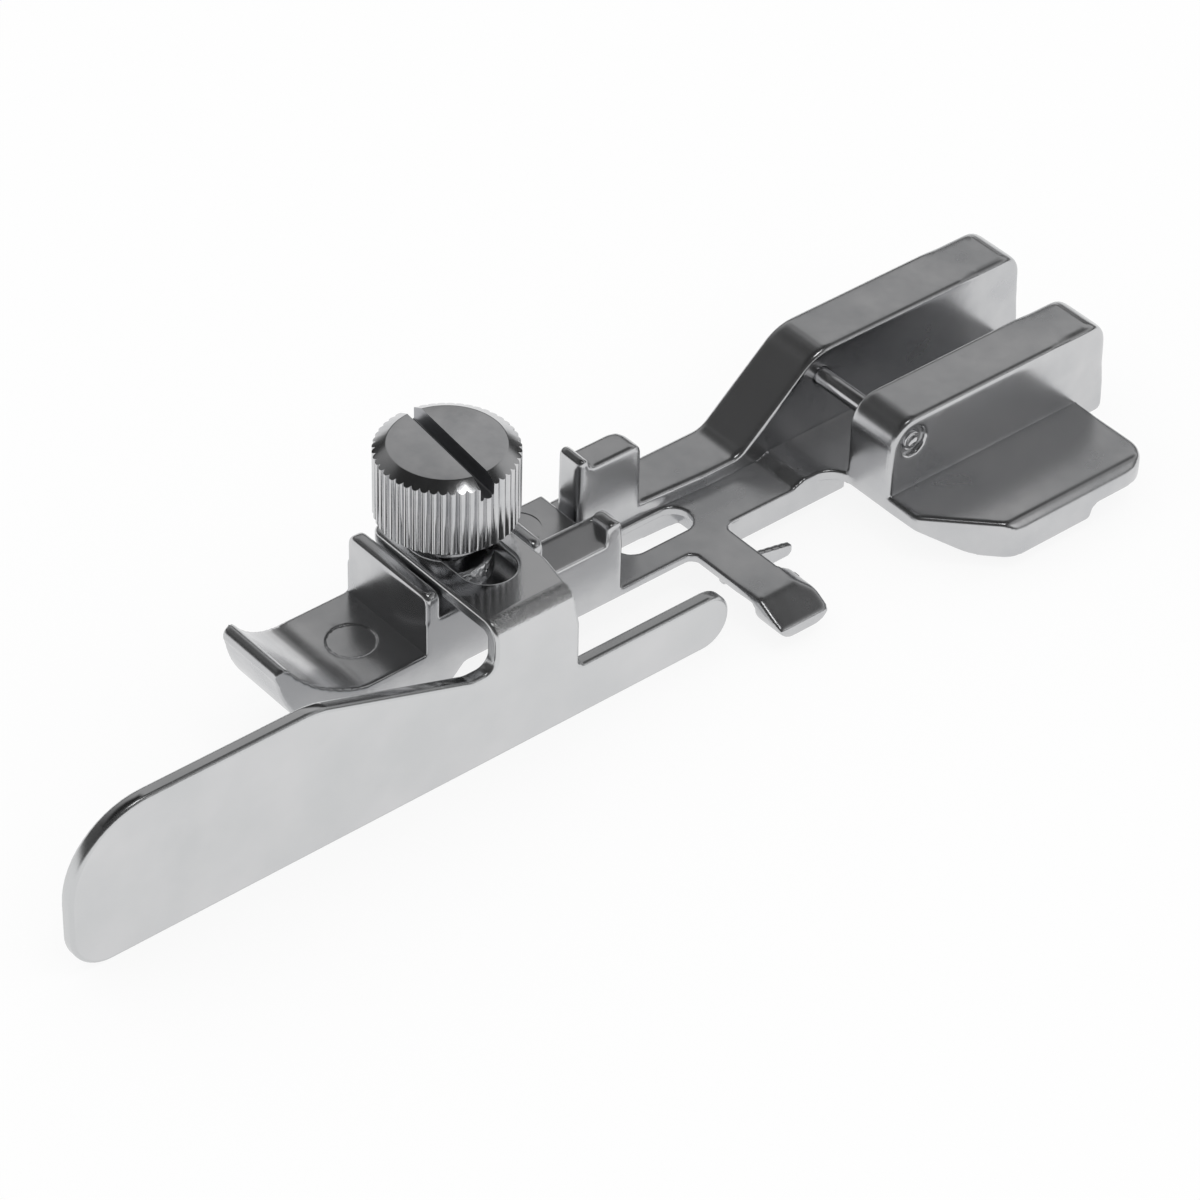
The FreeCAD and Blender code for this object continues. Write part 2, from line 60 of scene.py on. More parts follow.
def makeActive(piece):
    deselectAll()
    piece.select_set(True)
    bpy.context.view_layer.objects.active = piece


def nameActive(name):
    piece = bpy.context.object
    piece.name = name
    piece.data.name = name
    return piece


def applyModifier(piece, kind, **settings):
    makeActive(piece)
    bpy.ops.object.modifier_add(type=kind)
    modifier = piece.modifiers[-1]
    for key, value in settings.items():
        setattr(modifier, key, value)
    bpy.ops.object.modifier_apply(modifier=modifier.name)


def applyPlace(piece):
    makeActive(piece)
    bpy.ops.object.transform_apply(location=True, rotation=True, scale=True)


def editMode(piece, kind):
    makeActive(piece)
    bpy.ops.object.mode_set(mode="EDIT")
    bpy.ops.mesh.select_mode(type=kind)
    bpy.ops.mesh.select_all(action="DESELECT")
    bpy.ops.object.mode_set(mode="OBJECT")


def pickFaces(piece, wanted):
    editMode(piece, "FACE")
    for face in piece.data.polygons:
        face.select = bool(wanted(face.center, face.normal))
    bpy.ops.object.mode_set(mode="EDIT")


def pickPoints(piece, wanted):
    editMode(piece, "VERT")
    for point in piece.data.vertices:
        point.select = bool(wanted(point.co))
    bpy.ops.object.mode_set(mode="EDIT")


def pickEdges(piece, wanted):
    editMode(piece, "EDGE")
    points = piece.data.vertices
    for edge in piece.data.edges:
        edge.select = bool(wanted(points[edge.vertices[0]].co, points[edge.vertices[1]].co))
    bpy.ops.object.mode_set(mode="EDIT")


def mergeDoubles(piece, distance):
    makeActive(piece)
    bpy.ops.object.mode_set(mode="EDIT")
    bpy.ops.mesh.select_all(action="SELECT")
    bpy.ops.mesh.remove_doubles(threshold=distance)
    bpy.ops.object.mode_set(mode="OBJECT")


def copyOfNode(node, name):
    mesh = frame["nodes"][node].data.copy()
    mesh.materials.clear()
    piece = bpy.data.objects.new(name, mesh)
    bpy.context.scene.collection.objects.link(piece)
    mergeDoubles(piece, 2e-6)
    return piece


def faceOutwards(piece):
    makeActive(piece)
    bpy.ops.object.mode_set(mode="EDIT")
    bpy.ops.mesh.select_all(action="SELECT")
    bpy.ops.mesh.normals_make_consistent(inside=False)
    bpy.ops.object.mode_set(mode="OBJECT")


def addCylinder(name, sides, radius, depth, centre, rotation=(0, 0, 0)):  # sizes and place in mm
    deselectAll()
    bpy.ops.mesh.primitive_cylinder_add(vertices=sides, radius=radius * mm, depth=depth * mm,
                                        location=place(*centre), rotation=rotation)
    piece = nameActive(name)
    applyPlace(piece)
    return piece


def roundEdges(piece, width, segments, degrees, **settings):  # edges sharper than degrees get a round, in mm
    applyModifier(piece, "BEVEL", width=width * mm, segments=segments, limit_method="ANGLE",
                  angle_limit=math.radians(degrees), **settings)


def cutWith(piece, cutter):
    applyModifier(piece, "BOOLEAN", operation="DIFFERENCE", object=cutter, solver="EXACT")
    bpy.data.objects.remove(cutter)


def joinPieces(main, others):
    makeActive(main)
    for other in others:
        other.select_set(True)
    bpy.ops.object.join()
    return main


def shadeSmooth(piece, degrees):
    makeActive(piece)
    bpy.ops.object.shade_smooth_by_angle(angle=math.radians(degrees))


def evenNormals(piece):  # large faces rule the shading, so flats stay flat up to their rounds
    applyModifier(piece, "WEIGHTED_NORMAL", mode="FACE_AREA", weight=50, keep_sharp=True)


def dress(piece, *materials):
    piece.data.materials.clear()
    for material in materials:
        piece.data.materials.append(material)


def linearColour(code):
    parts = [int(code[i:i + 2], 16) / 255 for i in (1, 3, 5)]
    return tuple(c / 12.92 if c <= 0.04045 else ((c + 0.055) / 1.055) ** 2.4 for c in parts) + (1.0,)


def addNode(tree, kind, inputs=None, **settings):
    node = tree.nodes.new(kind)
    for key, value in settings.items():
        setattr(node, key, value)
    for key, value in (inputs or {}).items():
        if isinstance(value, bpy.types.NodeSocket):
            tree.links.new(value, node.inputs[key])
        else:
            node.inputs[key].default_value = value
    return node


def newMaterial(name):
    material = bpy.data.materials.new(name)
    material.use_nodes = True
    material.node_tree.nodes.clear()
    return material, material.node_tree


def perMetre(sizeMm):  # a noise's scale, for grains of this many mm
    return 1.0 / (sizeMm * mm)


noiseRange = (0.3, 0.7)                          # nearly all of a noise's values lie between these
fineNoise = {"Detail": 2.0, "Roughness": 0.55}   # an even grain

platedZinc = {
    "colour": "#CBCBCC", "shade": "#BEBFC1", "rough": (0.19, 0.29),
    "smudgeMm": 5.0, "smudgeDetail": 4.0, "smudgeRagged": 0.6,
    "grainMm": 0.9, "grainBump": 0.06, "grainHighMm": 0.05,
    "pitMm": 0.22, "pitBump": 0.025, "pitDeepMm": 0.03,
}
rolledSheet = {
    "colour": "#D2D2D3", "shade": "#CACBCC", "rough": (0.07, 0.13),
    "smudgeMm": 6.0, "smudgeDetail": 3.0, "smudgeRagged": 0.55,
    "grainMm": 0.13, "grainDetail": 3.0, "grainRagged": 0.6, "grainHighMm": 0.04, "tabShare": 0.11,
    # where the stretch grain starts and is full, in mm: at the bend's side, at its foot, and on the tab's top
    "grainFrom": [("X", 7.95, 8.25), ("Z", 8.45, 8.75), ("Z", 9.2, 9.29)],
    "grainMiddleY": -0.3, "grainHalfY": 3.2,
    "edgeRough": 0.26, "edgeStretch": (0.15, 1.0, 1.0), "edgeBump": 0.12, "edgeHighMm": 0.02,
}
turnedScrew = {
    "colour": "#CFCFD0", "shade": "#C0C1C3", "rough": (0.10, 0.2),
    "smudgeMm": 2.4, "smudgeDetail": 4.0, "smudgeRagged": 0.6,
    "lineMm": 0.10, "lineBump": 0.05, "lineHighMm": 0.02,
    # the slot's darker colour is painted shade in the recess; its roughness and bump are its own
    "slotPaintedShadeColour": "#A2A3A6", "milledRough": 0.34, "milledBump": 0.10,
}
groundPin = {
    "colour": "#C6C6C8", "rough": 0.2,
    "lineMm": 0.12, "lineStretch": (1.0, 0.05, 0.05), "lineBump": 0.15, "lineHighMm": 0.02,
}


def platingLook(tree, where, s):  # colour and roughness with soft blotches, as the plating varies a little
    smudge = addNode(tree, "ShaderNodeTexNoise",
                     {"Vector": where, "Scale": perMetre(s["smudgeMm"]), "Detail": s["smudgeDetail"],
                      "Roughness": s["smudgeRagged"]})
    share, rough = (
        addNode(tree, "ShaderNodeMapRange",
                {"Value": smudge.outputs["Fac"], "From Min": noiseRange[0], "From Max": noiseRange[1],
                 "To Min": low, "To Max": high}, clamp=True).outputs["Result"]
        for low, high in ((0.0, 1.0), s["rough"]))
    colour = addNode(tree, "ShaderNodeMix",
                     {"Factor": share, "A": linearColour(s["colour"]), "B": linearColour(s["shade"])},
                     data_type="RGBA")
    return colour.outputs["Result"], rough


def castingMaterial():  # zinc die casting, nickel plated: satin, with fine orange peel and small pits
    s = platedZinc
    material, tree = newMaterial("nickelPlatedZincCasting")
    where = addNode(tree, "ShaderNodeTexCoord").outputs["Object"]
    colour, rough = platingLook(tree, where, s)
    grain = addNode(tree, "ShaderNodeTexNoise", {"Vector": where, "Scale": perMetre(s["grainMm"]), **fineNoise})
    pits = addNode(tree, "ShaderNodeTexNoise", {"Vector": where, "Scale": perMetre(s["pitMm"]), **fineNoise})
    peel = addNode(tree, "ShaderNodeBump",
                   {"Strength": s["grainBump"], "Distance": s["grainHighMm"] * mm, "Height": grain.outputs["Fac"]})
    bump = addNode(tree, "ShaderNodeBump",
                   {"Strength": s["pitBump"], "Distance": s["pitDeepMm"] * mm, "Height": pits.outputs["Fac"],
                    "Normal": peel.outputs["Normal"]})
    shader = addNode(tree, "ShaderNodeBsdfPrincipled",
                     {"Base Color": colour, "Metallic": 1.0, "Roughness": rough, "Normal": bump.outputs["Normal"]})
    addNode(tree, "ShaderNodeOutputMaterial", {"Surface": shader.outputs["BSDF"]})
    return material


def sheetMaterial():  # bright plated steel strip: flat and mirror-like, with stretch grain along the bend
    s = rolledSheet
    material, tree = newMaterial("nickelPlatedSteelStrip")
    where = addNode(tree, "ShaderNodeTexCoord").outputs["Object"]
    colour, rough = platingLook(tree, where, s)
    grain = addNode(tree, "ShaderNodeTexNoise",
                    {"Vector": where, "Scale": perMetre(s["grainMm"]), "Detail": s["grainDetail"],
                     "Roughness": s["grainRagged"]})
    parts = addNode(tree, "ShaderNodeSeparateXYZ", {"Vector": where}).outputs
    risen = []
    for axis, start, full in s["grainFrom"]:
        low, high = (place(value, value, value)["XYZ".index(axis)] for value in (start, full))
        risen.append(addNode(tree, "ShaderNodeMapRange",
                             {"Value": parts[axis], "From Min": low, "From Max": high, "To Min": 0.0, "To Max": 1.0},
                             interpolation_type="SMOOTHSTEP").outputs["Result"])
    side, foot, tab = risen
    bend = addNode(tree, "ShaderNodeMath", {0: side, 1: foot}, operation="MULTIPLY")
    either = addNode(tree, "ShaderNodeMath", {0: tab, 1: s["tabShare"], 2: bend.outputs["Value"]},
                     operation="MULTIPLY_ADD")
    across = addNode(tree, "ShaderNodeMath",
                     {0: parts["Y"], 1: place(0, s["grainMiddleY"], 0).y, 2: s["grainHalfY"] * mm},
                     operation="COMPARE")
    shown = addNode(tree, "ShaderNodeMath", {0: either.outputs["Value"], 1: across.outputs["Value"]},
                    operation="MULTIPLY")
    height = addNode(tree, "ShaderNodeMath", {0: grain.outputs["Fac"], 1: shown.outputs["Value"]},
                     operation="MULTIPLY")
    bump = addNode(tree, "ShaderNodeBump",
                   {"Strength": 1.0, "Distance": s["grainHighMm"] * mm, "Height": height.outputs["Value"]})
    shader = addNode(tree, "ShaderNodeBsdfPrincipled",
                     {"Base Color": colour, "Metallic": 1.0, "Roughness": rough, "Normal": bump.outputs["Normal"]})
    addNode(tree, "ShaderNodeOutputMaterial", {"Surface": shader.outputs["BSDF"]})
    return material


def shearedMaterial():  # the strip's sheared edges: tumbled, so softer than its faces, with faint strokes across
    s = rolledSheet
    material, tree = newMaterial("tumbledShearedEdge")
    where = addNode(tree, "ShaderNodeTexCoord").outputs["Object"]
    along = addNode(tree, "ShaderNodeMapping", {"Vector": where, "Scale": s["edgeStretch"]})
    strokes = addNode(tree, "ShaderNodeTexNoise",
                      {"Vector": along.outputs["Vector"], "Scale": perMetre(s["grainMm"]), **fineNoise})
    bump = addNode(tree, "ShaderNodeBump",
                   {"Strength": s["edgeBump"], "Distance": s["edgeHighMm"] * mm, "Height": strokes.outputs["Fac"]})
    shader = addNode(tree, "ShaderNodeBsdfPrincipled",
                     {"Base Color": linearColour(s["shade"]), "Metallic": 1.0, "Roughness": s["edgeRough"],
                      "Normal": bump.outputs["Normal"]})
    addNode(tree, "ShaderNodeOutputMaterial", {"Surface": shader.outputs["BSDF"]})
    return material


def screwMaterial():  # turned and plated steel: bright, with soft blotches and a very fine grain
    s = turnedScrew
    material, tree = newMaterial("nickelPlatedTurnedSteel")
    where = addNode(tree, "ShaderNodeTexCoord").outputs["Object"]
    colour, rough = platingLook(tree, where, s)
    grain = addNode(tree, "ShaderNodeTexNoise", {"Vector": where, "Scale": perMetre(s["lineMm"]), **fineNoise})
    bump = addNode(tree, "ShaderNodeBump",
                   {"Strength": s["lineBump"], "Distance": s["lineHighMm"] * mm, "Height": grain.outputs["Fac"]})
    shader = addNode(tree, "ShaderNodeBsdfPrincipled",
                     {"Base Color": colour, "Metallic": 1.0, "Roughness": rough, "Normal": bump.outputs["Normal"]})
    addNode(tree, "ShaderNodeOutputMaterial", {"Surface": shader.outputs["BSDF"]})
    return material


def slotFinishAndShadeMaterial():  # the sawn driver slot: duller than the turned faces, and darker in colour, which is painted shade in the recess
    s = turnedScrew
    material, tree = newMaterial("sawnSlotSteelAndPaintedShade")
    where = addNode(tree, "ShaderNodeTexCoord").outputs["Object"]
    grain = addNode(tree, "ShaderNodeTexNoise", {"Vector": where, "Scale": perMetre(s["lineMm"]), **fineNoise})
    bump = addNode(tree, "ShaderNodeBump",
                   {"Strength": s["milledBump"], "Distance": s["lineHighMm"] * mm, "Height": grain.outputs["Fac"]})
    shader = addNode(tree, "ShaderNodeBsdfPrincipled",
                     # painted shade: the slot's darker base colour stands in for the shade inside it
                     {"Base Color": linearColour(s["slotPaintedShadeColour"]), "Metallic": 1.0,
                      "Roughness": s["milledRough"], "Normal": bump.outputs["Normal"]})
    addNode(tree, "ShaderNodeOutputMaterial", {"Surface": shader.outputs["BSDF"]})
    return material


def pinMaterial():  # ground steel wire: fine rings round the pin
    s = groundPin
    material, tree = newMaterial("groundSteelPin")
    where = addNode(tree, "ShaderNodeTexCoord").outputs["Object"]
    along = addNode(tree, "ShaderNodeMapping", {"Vector": where, "Scale": s["lineStretch"]})
    lines = addNode(tree, "ShaderNodeTexNoise",
                    {"Vector": along.outputs["Vector"], "Scale": perMetre(s["lineMm"]), **fineNoise})
    bump = addNode(tree, "ShaderNodeBump",
                   {"Strength": s["lineBump"], "Distance": s["lineHighMm"] * mm, "Height": lines.outputs["Fac"]})
    shader = addNode(tree, "ShaderNodeBsdfPrincipled",
                     {"Base Color": linearColour(s["colour"]), "Metallic": 1.0, "Roughness": s["rough"],
                      "Normal": bump.outputs["Normal"]})
    addNode(tree, "ShaderNodeOutputMaterial", {"Surface": shader.outputs["BSDF"]})
    return material


casting = castingMaterial()
strip = sheetMaterial()
stripEdge = shearedMaterial()
turned = screwMaterial()
slotFinishAndShade = slotFinishAndShadeMaterial()
ground = pinMaterial()
print("materials ready")


castFoot = {
    "gridDepth": 9, "lastTurns": 1, "smoothTurns": 8, "keepShare": 0.45,
    "hollowDegrees": 22, "creaseDegrees": 55, "flatCosine": 0.992, "fadeMm": 1.5,
    # corners that fingers and cloth have rubbed rounder:
    # turns of smoothing, and the low and high corner of a box round them
    "handled": [
        (45, (-8, 43, 3.2), (12, 52, 12)),
        (16, (8, 14, -3), (15, 24, 5)),
        (14, (-6, 8, 5.4), (1, 19, 11)),
        (14, (0, 8, 5.6), (6, 13, 11)),
        (16, (8.5, 27, -2), (19, 50, 5)),
    ],
    "markRadius": 1.55, "markDepth": 0.055, "tray": 4.5, "marks": [(0.0, -7.3), (-2.35, 7.4)],
    "pipRadius": 0.24, "pipShrink": 0.25, "pips": [(2.70, 0.72, 7.52), (2.30, 1.62, 7.75), (2.86, -0.35, 7.40)],
    "seatRadius": 2.9, "seatBand": 0.35, "seatFrom": 1.0, "seatLow": 6.95, "seatHigh": 8.15,
    "seatRough": 0.16, "seatLumpMm": 0.22, "seatLevel": 0.6,
}


def inMillimetres(x, y, z):
    return place(x, y, z) * 1000


def addPips(piece):  # lumps that the die left on the side of the screw's seat
    s = castFoot
    lumps = []
    for i, (x, y, z) in enumerate(s["pips"]):
        deselectAll()
        bpy.ops.mesh.primitive_uv_sphere_add(segments=24, ring_count=16, location=inMillimetres(x, y, z),
                                             radius=s["pipRadius"] * (1 - s["pipShrink"] * i))
        lumps.append(nameActive("pip"))
        applyPlace(lumps[-1])
    return joinPieces(piece, lumps)


def roughenSeat(piece):  # the seat's side is left rough, because no tool reaches it
    s = castFoot
    group = piece.vertex_groups.new(name="seatSide")
    centre = inMillimetres(0, 0, 0)
    low, high = inMillimetres(0, 0, s["seatLow"]).z, inMillimetres(0, 0, s["seatHigh"]).z
    picked = [point.index for point in piece.data.vertices
              if low < point.co.z < high and point.co.x > centre.x + s["seatFrom"]
              and abs(math.hypot(point.co.x - centre.x, point.co.y - centre.y) - s["seatRadius"]) < s["seatBand"]]
    group.add(picked, 1.0, "REPLACE")
    lumps = bpy.data.textures.new("seatLumps", "CLOUDS")
    lumps.noise_scale = s["seatLumpMm"]
    applyModifier(piece, "DISPLACE", texture=lumps, texture_coords="LOCAL", strength=s["seatRough"],
                  mid_level=s["seatLevel"], vertex_group="seatSide")
    piece.vertex_groups.clear()


def cutMark(piece, x, y):  # shallow round print of an ejector pin
    s = castFoot
    tall = 1.0  # the cutter stands well out of the floor
    deselectAll()
    bpy.ops.mesh.primitive_cylinder_add(vertices=96, radius=s["markRadius"], depth=tall,
                                        location=inMillimetres(x, y, s["tray"] - s["markDepth"] + tall / 2))
    cutter = nameActive("markCutter")
    applyPlace(cutter)
    cutWith(piece, cutter)


def cornerEdges(piece, degrees, side):  # edges sharper than degrees: side 1 is inner corners, -1 is outer ones
    beside = {}
    for face in piece.data.polygons:
        for key in face.edge_keys:
            beside.setdefault(key, []).append(face)
    found = set()
    for key, faces in beside.items():
        if len(faces) == 2:
            first, second = faces
            if (first.normal.angle(second.normal, 0.0) > math.radians(degrees)
                    and first.normal.dot(second.center - first.center) * side > 0):
                found.add(key)
    return found


def smoothOnly(piece, turns, share):  # smooths by each point's share, but leaves the inner corners
    kept = {index for key in cornerEdges(piece, castFoot["hollowDegrees"], 1) for index in key}
    group = piece.vertex_groups.new(name="smoothed")
    for point in piece.data.vertices:
        weight = 0.0 if point.index in kept else share(point)
        if weight > 0:
            group.add([point.index], weight, "REPLACE")
    applyModifier(piece, "SMOOTH", factor=0.5, iterations=turns, vertex_group="smoothed")
    piece.vertex_groups.clear()


def insideBox(point, low, high):  # 0 outside the box, rising to 1 at fadeMm inside it
    spot = point.co - inMillimetres(0, 0, 0)
    depth = min(min(spot[i] - low[i], high[i] - spot[i]) for i in range(3))
    return max(0.0, min(1.0, depth / castFoot["fadeMm"]))


def rubEdges(piece):  # outer edges are rubbed round, inner corners stay as tight as the die made them
    smoothOnly(piece, castFoot["smoothTurns"], lambda point: 1.0)
    for turns, low, high in castFoot["handled"]:
        smoothOnly(piece, turns, lambda point: insideBox(point, low, high))


def pullOnto(piece, exact, **settings):
    applyModifier(piece, "SHRINKWRAP", target=exact, wrap_method="NEAREST_SURFACEPOINT", **settings)


def flatten(piece, exact):  # the flats are put back on the model's own planes, so they mirror cleanly
    group = piece.vertex_groups.new(name="flat")
    group.add([point.index for point in piece.data.vertices
               if max(abs(part) for part in point.normal) > castFoot["flatCosine"]], 1.0, "REPLACE")
    pullOnto(piece, exact, vertex_group="flat")
    piece.vertex_groups.clear()
    bpy.data.objects.remove(exact)


def creaseCorners(piece):  # what is still sharper than a rubbed edge: inner corners and the rims of the marks
    degrees = castFoot["creaseDegrees"]
    sharp = cornerEdges(piece, degrees, 1) | cornerEdges(piece, degrees, -1)
    for edge in piece.data.edges:
        if edge.key in sharp:
            edge.use_edge_sharp = True


def makeCasting():
    s = castFoot
    piece = copyOfNode("foot_body", "castFoot")
    piece.data.transform(Matrix.Scale(1000, 4))  # the remesh works better in millimetres
    piece = addPips(piece)
    exact = bpy.data.objects.new("exactFoot", piece.data.copy())
    bpy.context.scene.collection.objects.link(exact)
    applyModifier(piece, "REMESH", mode="SHARP", octree_depth=s["gridDepth"], scale=0.99, sharpness=1.0,
                  use_remove_disconnected=False)
    pullOnto(piece, exact)  # the remesh left ripples
    rubEdges(piece)
    applyModifier(piece, "SMOOTH", factor=0.5, iterations=s["lastTurns"])
    flatten(piece, exact)
    roughenSeat(piece)
    applyModifier(piece, "DECIMATE", ratio=s["keepShare"])
    for x, y in s["marks"]:
        cutMark(piece, x, y)
    piece.data.transform(Matrix.Scale(mm, 4))
    makeActive(piece)
    bpy.ops.object.shade_smooth()
    creaseCorners(piece)
    evenNormals(piece)
    dress(piece, casting)
    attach(piece, "foot")
    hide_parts("foot_body")
    print("casting", len(piece.data.polygons), "faces")


makeCasting()


edgeStrip = {
    "sheet": 1.0, "face": 9.1, "bendInside": 0.3, "top": 9.3, "bendRear": 2.75,
    # corners of the blade's outline with their rounds: from the neck's front, over the nose, to the trailing finger
    "outline": [(-3.4, 8.0, 0), (-3.4, 6.15, 0.9), (-5.2, 6.15, 1.5), (-16.6, 10.05, 5.0), (-34.2, 10.05, 5.7),
                (-34.2, -0.8, 2.7), (15.05, -0.8, 2.0), (15.05, 3.08, 1.7), (3.05, 3.08, 0.45),
                (3.05, 6.5, 1.0), (2.75, 8.0, 0)],
    "taper": 2.2, "taperRound": 2.5, "tabRear": 3.2, "tabLeft": -3.3, "tabCorner": 0.9,
    "slotRadius": 1.8, "slotReach": 3.9, "arcSteps": 14, "bendSteps": 14,
    "edgeMm": 0.26, "edgeSteps": 4, "edgeDegrees": 50,
}


def same(a, b):
    return abs(a - b) < touching


def pushOut(x, y, z):  # extrudes what is picked, by so many mm, and leaves edit mode
    bpy.ops.mesh.extrude_region_move(TRANSFORM_OT_translate={"value": (x * mm, y * mm, z * mm)})
    bpy.ops.object.mode_set(mode="OBJECT")


def roundOutline(piece, corners):  # every corner of a flat outline, rounded with its own radius
    for i, (y, z, radius) in enumerate(corners):
        if radius:
            here = Vector((y, z))
            before = Vector(corners[i - 1][:2]) - here
            after = Vector(corners[(i + 1) % len(corners)][:2]) - here
            reach = radius / math.tan(before.angle(after) / 2)
            spot = place(edgeStrip["face"] - edgeStrip["sheet"], y, z)
            pickPoints(piece, lambda co: (co - spot).length < touching)
            bpy.ops.mesh.bevel(offset=reach * mm, segments=edgeStrip["arcSteps"], profile=0.5, affect="VERTICES",
                               clamp_overlap=False)
            bpy.ops.object.mode_set(mode="OBJECT")


def makeBlade():
    s = edgeStrip
    deselectAll()
    bpy.ops.mesh.primitive_circle_add(vertices=len(s["outline"]), fill_type="NGON")
    piece = nameActive("bladeGuide")
    for point, (y, z, _) in zip(piece.data.vertices, s["outline"]):
        point.co = place(s["face"] - s["sheet"], y, z)
    roundOutline(piece, s["outline"])
    pickFaces(piece, lambda middle, normal: True)
    pushOut(s["sheet"], 0, 0)
    faceOutwards(piece)
    return piece


def roundUpright(piece, x, reach, y):  # upright edges of the tab at one x, and at one y if it is given
    level = place(0, y, 0).y if y is not None else None
    pickEdges(piece, lambda a, b: same(a.x, x) and same(b.x, x) and same(a.y, b.y)
              and (level is None or same(a.y, level)))
    bpy.ops.mesh.bevel(offset=reach * mm, segments=edgeStrip["arcSteps"], profile=0.5, affect="EDGES",
                       clamp_overlap=False)
    bpy.ops.object.mode_set(mode="OBJECT")


def bendTab(piece):  # the neck's top is turned over into the tab that lies on the seat
    s = edgeStrip
    outside = s["bendInside"] + s["sheet"]
    start = s["face"] - outside
    low = place(0, 0, s["top"] - outside).z
    pickFaces(piece, lambda middle, normal: normal.z > 0.99 and same(middle.z, low))
    bpy.ops.mesh.spin(steps=s["bendSteps"], angle=math.pi / 2, center=place(start, 0, s["top"] - outside),
                      axis=(0, 1, 0))
    pushOut(-s["taper"], 0, 0)
    rear = place(0, s["bendRear"], 0).y
    for point in piece.data.vertices:
        if point.select and same(point.co.y, rear):
            point.co.y = place(0, s["tabRear"], 0).y
    bpy.ops.object.mode_set(mode="EDIT")
    pushOut(s["tabLeft"] - start + s["taper"], 0, 0)
    turn = math.atan((s["tabRear"] - s["bendRear"]) / s["taper"])
    roundUpright(piece, place(start - s["taper"], 0, 0).x, s["taperRound"] * math.tan(turn / 2), s["tabRear"])
    roundUpright(piece, place(s["tabLeft"], 0, 0).x, s["tabCorner"], None)


def slotCutter():  # a cylinder pulled apart into a long round-ended hole
    s = edgeStrip
    tall = 3  # well through the sheet
    cutter = addCylinder("slotCutter", 96, s["slotRadius"], tall, (0, 0, s["top"] - s["sheet"] / 2))
    for point in cutter.data.vertices:
        if point.co.x > screwAxis.x + touching:
            point.co.x += s["slotReach"] * mm
    return cutter


def isSheared(middle, normal):  # the faces across the sheet's thickness
    start = place(edgeStrip["face"] - edgeStrip["bendInside"] - edgeStrip["sheet"], 0, 0)
    if middle.z < place(0, 0, edgeStrip["outline"][0][1]).z:
        return abs(normal.x) < 0.9
    if middle.x < start.x:
        return abs(normal.z) < 0.9
    return abs(normal.y) > 0.5


def makeGuide():
    s = edgeStrip
    piece = makeBlade()
    bendTab(piece)
    mergeDoubles(piece, 1e-7)
    faceOutwards(piece)
    applyModifier(piece, "DECIMATE", decimate_type="DISSOLVE", angle_limit=math.radians(0.1))
    cutWith(piece, slotCutter())
    dress(piece, strip, stripEdge)
    for face in piece.data.polygons:
        face.material_index = 1 if isSheared(face.center, face.normal) else 0
    roundEdges(piece, s["edgeMm"], s["edgeSteps"], s["edgeDegrees"], use_clamp_overlap=False, material=1)
    shadeSmooth(piece, 35)
    evenNormals(piece)
    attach(piece, "guide")
    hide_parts("edge_guide")
    print("guide", len(piece.data.polygons), "faces")


makeGuide()


thumbScrew = {
    "headRadius": 4.5, "headBottom": 10.92, "headHeight": 5.2, "teeth": 48, "toothDepth": 0.22,
    "toothShape": [1.0, 0.34, 0.05, 0.0, 0.05, 0.34],  # each tooth: groove, flank, three points of its crest, flank
    "topRadius": 3.65, "topDrop": 0.47, "topRound": 0.05, "footInset": 0.25, "footRise": 0.22, "footSlope": 0.6,
    "slotWidth": 1.0, "slotDepth": 1.3, "slotTurn": -5.6, "slotRound": 0.08, "slotSlack": 0.02,
    "collarRadius": 2.7, "collarHeight": 1.6, "collarRound": 0.18, "collarInHead": 0.1,
    "shankRadius": 1.4, "shankLength": 6.0, "tipChamfer": 0.3,
    "pitch": 0.5, "threadDepth": 0.27, "threadAboveTip": 0.35, "threadShorter": 1.4,
    "crestHalf": 0.03, "rootHalf": 0.22, "rootSunk": 0.05,
}


def setRing(piece, radius, height):  # the picked points go onto a circle round the screw's axis
    for point in piece.data.vertices:
        if point.select:
            x, y = point.co.x - screwAxis.x, point.co.y - screwAxis.y
            reach = math.hypot(x, y)
            if reach > touching:
                point.co.x = screwAxis.x + x / reach * radius * mm
                point.co.y = screwAxis.y + y / reach * radius * mm
            point.co.z = height


def knurl(piece, count, middle):  # cuts the teeth's grooves into the head's rim
    s = thumbScrew
    slope = s["topDrop"] / (s["headRadius"] - s["topRadius"])
    for point in piece.data.vertices:
        x, y = point.co.x - screwAxis.x, point.co.y - screwAxis.y
        step = round(math.atan2(y, x) / (2 * math.pi) * count) % len(s["toothShape"])
        cut = s["toothShape"][step] * s["toothDepth"]
        factor = 1 - cut / s["headRadius"]
        point.co.x, point.co.y = screwAxis.x + x * factor, screwAxis.y + y * factor
        point.co.z += cut * mm * (slope if point.co.z > middle else -s["footSlope"])


def makeHead():
    s = thumbScrew
    count = s["teeth"] * len(s["toothShape"])
    low = s["headBottom"] + s["footRise"]
    high = s["headBottom"] + s["headHeight"] - s["topDrop"]
    top = place(0, 0, s["headBottom"] + s["headHeight"]).z
    piece = addCylinder("knurledHead", count, s["headRadius"], high - low, (0, 0, (low + high) / 2))
    knurl(piece, count, place(0, 0, (low + high) / 2).z)
    pickFaces(piece, lambda middle, normal: normal.z > 0.9)
    pushOut(0, 0, 0)
    setRing(piece, s["topRadius"], top)
    pickFaces(piece, lambda middle, normal: normal.z < -0.9)
    pushOut(0, 0, 0)
    setRing(piece, s["headRadius"] - s["footInset"], place(0, 0, s["headBottom"]).z)
    pickEdges(piece, lambda a, b: same(a.z, top) and same(b.z, top))  # the rim of the flat top
    bpy.ops.mesh.bevel(offset=s["topRound"] * mm, segments=2, affect="EDGES")
    bpy.ops.object.mode_set(mode="OBJECT")
    return piece


